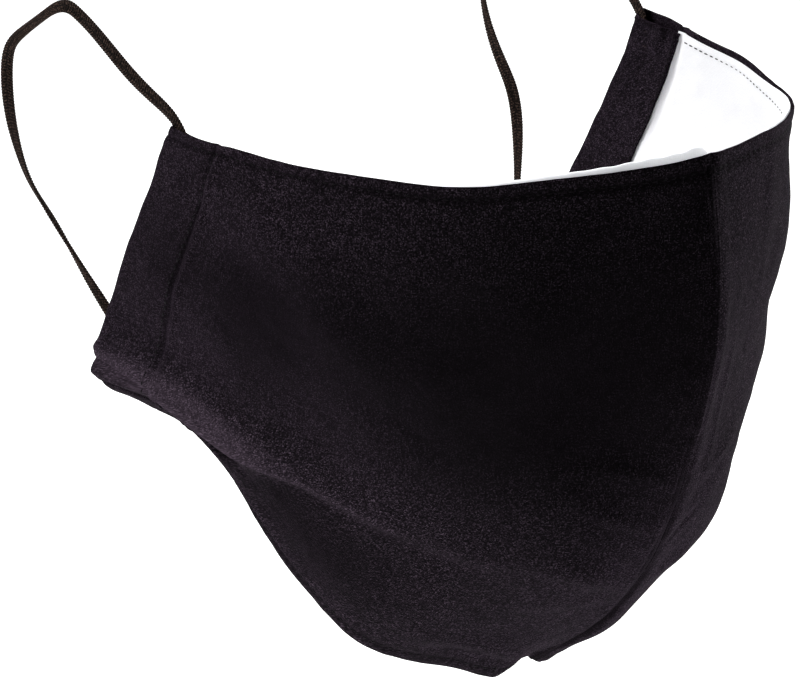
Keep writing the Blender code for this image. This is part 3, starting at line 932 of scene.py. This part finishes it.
# %% [markdown]
# ## Outer cloth
# Each side of the mask is one panel of black cotton. Its side edge is folded back on the inside and
# stitched down as the casing, so the wall is carried along a profile: from the seam to the side
# edge, round a small half circle and back along the casing. The visible skin is finely gridded; the
# skin that the lining hides has half as many rows and columns, and a row of triangles joins the two
# at the rim. Every rim is rounded like turned cloth. Each point also gets its painted light and
# shade, with the wear of the rims: painted highlights make rims and creases paler, and painted
# shade makes the rows of stitches dark.

# %% Walls of cloth
PACKED = np.array((0, 0.12, 0.4, 0.8))   # rows set close together at a rounded rim, in radii


def rim_share(distance, radius):
    """Half thickness of a wall near its rim: a quarter circle from 0 at the rim to 1."""
    a = np.clip(1 - distance / radius, 0, 1)
    return np.sqrt(1 - a ** 2)


def rounded_rows(count, radius, span):
    """Rows from 0 to 1, four of them packed into each end where the rim is rounded."""
    packed = PACKED * radius / span
    return np.concatenate([packed, np.linspace(1.3 * radius / span, 1 - 1.3 * radius / span, count - 8),
                           1 - packed[::-1]])


def outline_of(index):
    """The point numbers round the edge of a grid, once round."""
    return np.concatenate([index[:, 0], index[-1, 1:], index[-2::-1, -1], index[0, -2:0:-1]])


def wall_piece(name, fine, coarse, painted_light_and_wear, finish, flip):
    """Closed wall between a fine grid of points and one of half its rows and columns."""
    columns, rows = fine.shape[:2]
    index = np.arange(columns * rows).reshape(columns, rows)
    under = np.arange(coarse[..., 0].size).reshape(coarse.shape[:2]) + columns * rows
    rim = outline_of(index)
    low = outline_of(under)
    a = np.append(rim, rim[0])
    b = np.append(low, low[0])
    first = np.stack([a[1:-1:2], a[0:-2:2], b[:-1]], axis=-1)
    middle = np.stack([a[1:-1:2], b[:-1], b[1:]], axis=-1)
    last = np.stack([a[2::2], a[1:-1:2], b[1:]], axis=-1)
    joined = np.concatenate([first, middle, last])
    if flip:
        joined = joined[:, ::-1]
    step_u = np.linalg.norm(np.diff(fine, axis=0, prepend=fine[:1]), axis=-1)
    step_v = np.linalg.norm(np.diff(fine, axis=1, prepend=fine[:, :1]), axis=-1)
    uv = np.stack([np.cumsum(step_u, axis=0), np.cumsum(step_v, axis=1)], axis=-1) / MM
    points = np.concatenate([fine.reshape(-1, 3), coarse.reshape(-1, 3)])
    uv = np.concatenate([uv.reshape(-1, 2), uv[::2, ::2].reshape(-1, 2)])
    painted_light_and_wear = np.concatenate([painted_light_and_wear.ravel(), painted_light_and_wear[::2, ::2].ravel()])
    faces = [grid_faces(index, flip), grid_faces(under, not flip), joined]
    return make_piece(name, points, faces, finish, uv, painted_light_and_wear)


# %% Outer panels
PANEL_COLUMNS = 311       # from the seam to the casing's stitches
CASING_FRONT = 27         # from there to the fold
TURN_COLUMNS = 13         # round the fold
CASING_BACK = 28          # and back along the inside
PANEL_ROWS = 191
HALF_WALL = 0.0003        # half the thickness of the outer cloth
FOLD_RADIUS = 0.0011      # outside of the casing's fold
CASING_LOW = 0.0018       # inside of the casing held back at its mouths
SEAM_ROUND = 0.0003
THIN = 0.2                # least half thickness of the hidden skin, as a share
SWELL = 0.0011            # how far the casing's back stands off over the elastic, near its mouths
SWELL_NEAR = (0.0011, 0.0021)     # from the side edge: where that starts and is full
SWELL_FAR = (0.0130, 0.0151)      # where it starts to fall and is gone
SWELL_RUN = (0.008, 0.014)        # from a mouth: where it starts to fall and is gone
SEAM_SHADED_V = (0.45, 0.7)         # down the seam: where its painted shade and highlight start and are full
RIM_HIGHLIGHT_AND_WEAR = 0.2            # painted highlight and wear of the very rim of the cloth
RIM_HIGHLIGHT_REACH = 0.0006         # how far in from a rim they reach
FOLD_HIGHLIGHT = 0.2           # painted highlight for each millimetre that a jaw fold stands out
MOST_PAINTED_SHADE = -0.8         # no place gets more painted shade than this
# Painted shade in the sewn lines and painted highlight on the cloth beside them: the edge, metres
# from it, half width in millimetres, how much paler, and what it is shared out by
SEWN_SHADE_AND_HIGHLIGHT = (
    ("top", TOP_STITCH / 2, 1.0, 0.12, None),
    ("top", TOP_STITCH, 0.8, -0.9, "along"),
    ("hem", HEM_STITCH + 0.002, 1.1, 0.15, None),
    ("hem", HEM_STITCH, 0.8, -0.8, "along"),
    ("side", CASING_STITCH + 0.002, 1.2, 0.15, None),
    ("side", CASING_STITCH, 0.7, -0.7, "down"),
    ("seam", 0.0032, 1.3, 0.16, "low"),
    ("seam", 0.0006, 0.9, -0.8, "low"),
)


def panel_profile(v):
    """u, v, middle depth and the way out of the wall, for each column and row of the outer panel.

    The wall runs from the seam at half its thickness deep, round a half circle, and back along the
    casing; the way out is up, then round, then down. The casing's back swells inwards over the
    elastic near both mouths, and is held back from them a little.
    """
    speed = speed_at_side(v)
    middle = FOLD_RADIUS - HALF_WALL
    end = 1 - CASING_WIDTH / speed
    shares = np.concatenate([PACKED * HALF_WALL / SPAN_U, np.linspace(0.005, 1, PANEL_COLUMNS - 4)])
    u = [share * end for share in shares]
    u += [1 - reach / speed for reach in np.linspace(CASING_WIDTH, FOLD_RADIUS, CASING_FRONT + 1)[1:]]
    depth = [HALF_WALL + 0 * v] * len(u)
    down = [v] * len(u)
    out = [(0.0, -1.0)] * len(u)
    for angle in np.linspace(0, pi, TURN_COLUMNS + 2)[1:-1]:
        u.append(1 - (FOLD_RADIUS - middle * sin(angle)) / speed)
        depth.append(FOLD_RADIUS - middle * cos(angle) + 0 * v)
        down.append(v)
        out.append((sin(angle), -cos(angle)))
    packed = CASING_WIDTH - PACKED[::-1] * HALF_WALL
    from_mouth = np.minimum(v, 1 - v) * SPAN_V
    near_mouth = 1 - between(from_mouth, *SWELL_RUN)
    for reach in np.concatenate([np.linspace(FOLD_RADIUS, packed[0] - 0.0003, CASING_BACK - 4), packed]):
        u.append(1 - reach / speed)
        swell = between(reach, *SWELL_NEAR) * (1 - between(reach, *SWELL_FAR))
        depth.append(FOLD_RADIUS + middle + SWELL * swell * near_mouth)
        held = CASING_LOW * between(reach, 0.001, 0.004) / SPAN_V
        down.append(0.5 + (v - 0.5) * (1 - 2 * held))
        out.append((0.0, 1.0))
    return np.array(u), np.array(down), np.array(depth), np.array(out), speed


def stitch_shade_and_highlight(u, v):
    """Painted shade in the sewn lines and painted highlight beside them: a bell across each line of the
    table.

    A cosine of the stitch pitch breaks the rows of stitches into dashes, and the lines of the seam
    fade out upwards.
    """
    away = distances(u, v)
    shares = {
        None: 1,
        "along": 0.65 + 0.35 * np.cos(2 * pi * u * SPAN_U / STITCH_PITCH),
        "down": 0.65 + 0.35 * np.cos(2 * pi * v * SPAN_V / STITCH_PITCH),
        "low": between(v, *SEAM_SHADED_V),
    }
    return sum(shares[share] * more * bell(away[edge] - at, wide * MM)
               for edge, at, wide, more, share in SEWN_SHADE_AND_HIGHLIGHT)


def panel_light_and_wear(u, v, from_rim, side):
    """Painted light and shade of the black cotton with its rims' wear: rims, sewn lines, folds, creases and
    patches.
    """
    # Painted highlight and wear at the rims, painted shade and highlight along the sewn lines, and patches
    # of painted light and shade.
    painted_light_and_wear = RIM_HIGHLIGHT_AND_WEAR * np.exp(-from_rim / RIM_HIGHLIGHT_REACH) + stitch_shade_and_highlight(u, v) + pushed(u, v, PAINTED_LIGHT_AND_SHADE[side])
    # Painted highlight along the two jaw folds, by how far each stands out.
    for fold in SHARED_FOLDS[:2]:
        painted_light_and_wear += ridge_along(u, v, *fold) / MM * FOLD_HIGHLIGHT
    # Painted highlights along the jaw creases.
    for line in PAINTED_CREASE_HIGHLIGHTS:
        painted_light_and_wear += ridge_along(u, v, *line) / MM
    return np.maximum(painted_light_and_wear, MOST_PAINTED_SHADE)


def outer_panel(word, sign):
    """Outer cloth of one side: the profile at each row, thinned to a round rim at every edge."""
    rows = rounded_rows(PANEL_ROWS, HALF_WALL, SPAN_V)
    u, v, depth, out, speed = panel_profile(rows)
    from_end = np.full(u.shape, 1.0)
    from_end[-CASING_BACK:] = (CASING_WIDTH - (1 - u) * speed)[-CASING_BACK:]
    half = rim_share(np.minimum(rows, 1 - rows) * SPAN_V, HALF_WALL)[None, :] * HALF_WALL
    half = half * rim_share(from_end, HALF_WALL) * (0.55 + 0.45 * rim_share(u * SPAN_U, SEAM_ROUND))
    fine = place(u + half * out[:, :1] / speed, v, depth + half * out[:, 1:], word, sign)
    back_half = np.maximum(half, THIN * HALF_WALL)[::2, ::2]
    back_u = u[::2, ::2] - back_half * out[::2, :1] / speed[::2]
    coarse = place(back_u, v[::2, ::2], depth[::2, ::2] - back_half * out[::2, 1:], word, sign)
    from_rim = np.minimum(np.minimum(v, 1 - v) * SPAN_V, (1 - u) * speed)
    painted_light_and_wear = panel_light_and_wear(u.ravel(), v.ravel(), from_rim.ravel(), word).reshape(u.shape)
    panel = wall_piece(f"outer_cloth_{word}", fine, coarse, painted_light_and_wear, black_cotton, flip=sign > 0)
    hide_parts(f"outer_panel_{word}")
    return panel


for word, sign in SIDES:
    outer_panel(word, sign)

# %% [markdown]
# ## Lining
# The lining lies against the outer cloth and is caught under the casings. Along the top it stands a
# little above the black edge beside the nose, as a soft white line. It is the same wall again, but
# here the inner skin is the visible one, so that is the finely gridded one.

# %% Lining
LINING_GAP = 0.0002       # between the outer cloth and the lining
LINING_SHOW = 0.0015      # lining standing above the top edge beside the nose
LINING_INSET = 0.0015     # lining held back from the hem
CASING_OVERLAP = 0.0015   # lining caught under the end of the casing
LINING_HALF = 0.0003      # half the thickness of the lining
LINING_RELIEF = 0.9       # share of the outer cloth's relief that it follows
LINING_WAVE = 0.00015     # how far its top edge wanders up and down near the seam
BACKED_FROM = 0.0008      # below the black edge, where black cloth lies behind it
BACKED_SOFT = 0.0005
LINING_COLUMNS = 201
LINING_ROWS = 161
# How much of it stands above the edge, along the edge
LINING_EDGE = {
    "right": ((0.0, -0.2), (0.008, 0.7), (0.022, 1.1), (0.05, 1.05), (0.09, 0.95), (0.13, 0.95), (0.2, 0.8),
              (0.35, 0.5), (0.5, 0.2), (0.6, -0.3), (0.75, -0.9), (1.0, -1.0)),
    "left": ((0.0, -0.6), (0.2, -0.6), (0.26, 0.2), (0.36, 0.5), (0.5, 0.3), (0.62, -0.3), (0.75, -0.9),
             (1.0, -1.0)),
}


def lining(word, sign):
    """Inner cloth of one side: rows slid so that the first follows the edge that shows.

    Its points carry how far they have no black cloth behind them: a soft step from 1 to 0 just
    below the outer cloth's top edge.
    """
    share = rounded_rows(LINING_ROWS, LINING_HALF, SPAN_V)
    speed = speed_at_side(share)
    end = 1 - (CASING_WIDTH - CASING_OVERLAP) / speed
    shares = np.concatenate([PACKED * LINING_HALF / SPAN_U, np.linspace(0.006, 1, LINING_COLUMNS - 4)])
    u = shares[:, None] * end[None, :]
    top = -read(LINING_EDGE[word], shares) * LINING_SHOW / SPAN_V
    wave = LINING_WAVE / SPAN_V * np.sin(2 * pi * shares * 17 + 3 * np.sin(5 * shares))
    top = top + wave * np.clip(1 - shares * 2, 0, 1)
    v = top[:, None] + share[None, :] * (1 - LINING_INSET / SPAN_V - top[:, None])
    half = rim_share(np.minimum(share, 1 - share)[None, :] * SPAN_V, LINING_HALF)
    half = half * rim_share((end[None, :] - u) * SPAN_U, LINING_HALF) * LINING_HALF
    middle = 2 * HALF_WALL + LINING_GAP + LINING_HALF
    fine = place(u, v, middle + half, word, sign, LINING_RELIEF)
    back_half = np.maximum(half, THIN * LINING_HALF)[::2, ::2]
    coarse = place(u[::2, ::2], v[::2, ::2], middle - back_half, word, sign, LINING_RELIEF)
    unbacked = step_down(v * SPAN_V - BACKED_FROM, BACKED_SOFT)
    piece = wall_piece(f"white_lining_{word}", fine, coarse, unbacked, white_lining, flip=sign < 0)
    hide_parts(f"lining_{word}")
    return piece


for word, sign in SIDES:
    lining(word, sign)

# %% [markdown]
# ## Stitches
# Rows of small machine stitches hold the top edge, the casings and the hem. Each stitch is a short
# bent thread that dips into the cloth at both ends. A texture of dashes would do from afar; real
# threads catch the light from any side, and they cost few faces.

# %% Rows of stitches
STITCH_LENGTH = 0.0017
THREAD_RADIUS = 0.00016
STITCH_RINGS = 7
STITCH_POINTS = 6


def stitch_row(name, u, v, depth, side, sign, outward):
    """Bent threads along a line on the cloth, one to each pitch.

    The line is measured, and each thread takes seven points of it; the middle ones stand out of the
    cloth by a parabola, and the rings shrink towards both ends.
    """
    line = place(u, v, depth, side, sign)
    lifted = place(u, v, depth - outward * MM, side, sign)
    run = np.concatenate([[0], np.cumsum(np.linalg.norm(np.diff(line, axis=0), axis=1))])
    count = int(run[-1] / STITCH_PITCH)
    t = np.linspace(0, 1, STITCH_RINGS)
    where = (np.arange(count)[:, None] + 0.5) * STITCH_PITCH + (t[None, :] - 0.5) * STITCH_LENGTH
    centre = np.stack([np.interp(where, run, line[:, k]) for k in range(3)], axis=-1)
    above = np.stack([np.interp(where, run, lifted[:, k]) for k in range(3)], axis=-1) - centre
    above /= np.linalg.norm(above, axis=-1, keepdims=True)
    ahead = np.gradient(centre, axis=1)
    ahead /= np.linalg.norm(ahead, axis=-1, keepdims=True)
    beside = np.cross(ahead, above)
    rise = THREAD_RADIUS * (1.6 * (1 - (2 * t - 1) ** 2) - 1.2)
    centre = centre + above * rise[None, :, None]
    radius = THREAD_RADIUS * np.sqrt(1 - 0.8 * (2 * t - 1) ** 4)
    angle = np.arange(STITCH_POINTS) * 2 * pi / STITCH_POINTS
    ring = beside[:, :, None, :] * np.cos(angle)[:, None] + above[:, :, None, :] * np.sin(angle)[:, None]
    points = centre[:, :, None, :] + ring * radius[None, :, None, None]
    index = np.arange(count * STITCH_RINGS * STITCH_POINTS).reshape(count, STITCH_RINGS, STITCH_POINTS)
    around = np.concatenate([index, index[:, :, :1]], axis=2)
    quads = np.stack([around[:, :-1, :-1], around[:, :-1, 1:],
                      around[:, 1:, 1:], around[:, 1:, :-1]], axis=-1)
    faces = [quads.reshape(-1, 4)[:, ::-1], index[:, 0], index[:, -1, ::-1]]
    row = make_piece(name, points.reshape(-1, 3), faces, black_thread)
    return row


LINE = np.linspace(0, 1, 400)
FIRST_STITCH = 0.012      # share of the way along an edge where its stitches begin
LINING_FACE = 2 * HALF_WALL + LINING_GAP + 2 * LINING_HALF
for word, sign in SIDES:
    along = FIRST_STITCH + LINE * (1 - CASING_WIDTH / SPAN_U / 2 - FIRST_STITCH)
    across = 0 * LINE
    stitch_row(f"top_stitches_{word}", along, across + TOP_STITCH / SPAN_V, 0, word, sign, 1)
    stitch_row(f"hem_stitches_{word}", along, across + 1 - HEM_STITCH / SPAN_V, 0, word, sign, 1)
    down = 0.02 + LINE * 0.96
    casing = 1 - CASING_STITCH / speed_at_side(down)
    stitch_row(f"casing_stitches_{word}", casing, down, 0, word, sign, 1)
    stitch_row(f"casing_inner_stitches_{word}", casing, down, 2 * FOLD_RADIUS, word, sign, -1)
    along = FIRST_STITCH + LINE * (1 - (CASING_WIDTH + MM) / SPAN_U - FIRST_STITCH)
    stitch_row(f"lining_top_stitches_{word}", along, across + 1.3 * TOP_STITCH / SPAN_V, LINING_FACE,
               word, sign, -1)

# %% [markdown]
# ## Floor and light
# The mask hangs as worn, so the floor lies well below it. Black cloth shows its form only where
# light rakes it: two large soft lights stand left and right, two weak ones above and below, and
# little comes from the front.

# %% Stage
FLOOR_Z = -0.6
FLOOR_REACH = 6.0         # from the middle of the floor to its sides
MASK_MIDDLE = (0, 0.06, -0.06)
WORLD_LIGHT = 0.04
# Place, side and watts of each light
LIGHTS = {
    "light_left": ((-1.20, 1.00, 0.95), 0.9, 42),
    "light_right": ((1.6, -0.35, 0.15), 1.0, 32),
    "light_low": ((-0.22, -0.05, -0.56), 0.45, 6),
    "light_top": ((0.2, 0.6, 1.6), 1.2, 6),
}


def stage_floor():
    """A wide pale plane."""
    mesh = bpy.data.meshes.new("floor")
    corners = [(x * FLOOR_REACH, y * FLOOR_REACH, FLOOR_Z) for x, y in ((-1, -1), (1, -1), (1, 1), (-1, 1))]
    mesh.from_pydata(corners, [], [(0, 1, 2, 3)])
    finish, _ = new_finish("floor_paper", {
        "Base Color": (0.88, 0.88, 0.88, 1), "Roughness": 0.9, "Specular IOR Level": 0.1,
        "Emission Color": (1, 1, 1, 1), "Emission Strength": 0.8})
    mesh.materials.append(finish)
    ob = bpy.data.objects.new("floor", mesh)
    bpy.context.scene.collection.objects.link(ob)
    ob.visible_diffuse = False


def soft_light(name, place_at, size, power):
    """A square soft light that points at the middle of the mask."""
    data = bpy.data.lights.new(name, "AREA")
    data.shape = "SQUARE"
    data.size = size
    data.energy = power
    away = np.array(place_at) - MASK_MIDDLE
    z = away / np.linalg.norm(away)
    x = np.cross((0, 0, 1), z)
    x /= np.linalg.norm(x)
    put_in_place(name, data, (x, np.cross(z, x), z, place_at))


stage_floor()
for name, (place_at, size, power) in LIGHTS.items():
    soft_light(name, place_at, size, power)

world = bpy.data.worlds.new("studio")
bpy.context.scene.world = world
world.use_nodes = True
studio = world.node_tree
background = studio.nodes["Background"]
background.inputs["Color"].default_value = (1, 1, 1, 1)
background.inputs["Strength"].default_value = WORLD_LIGHT
bpy.context.scene.view_settings.view_transform = "Standard"
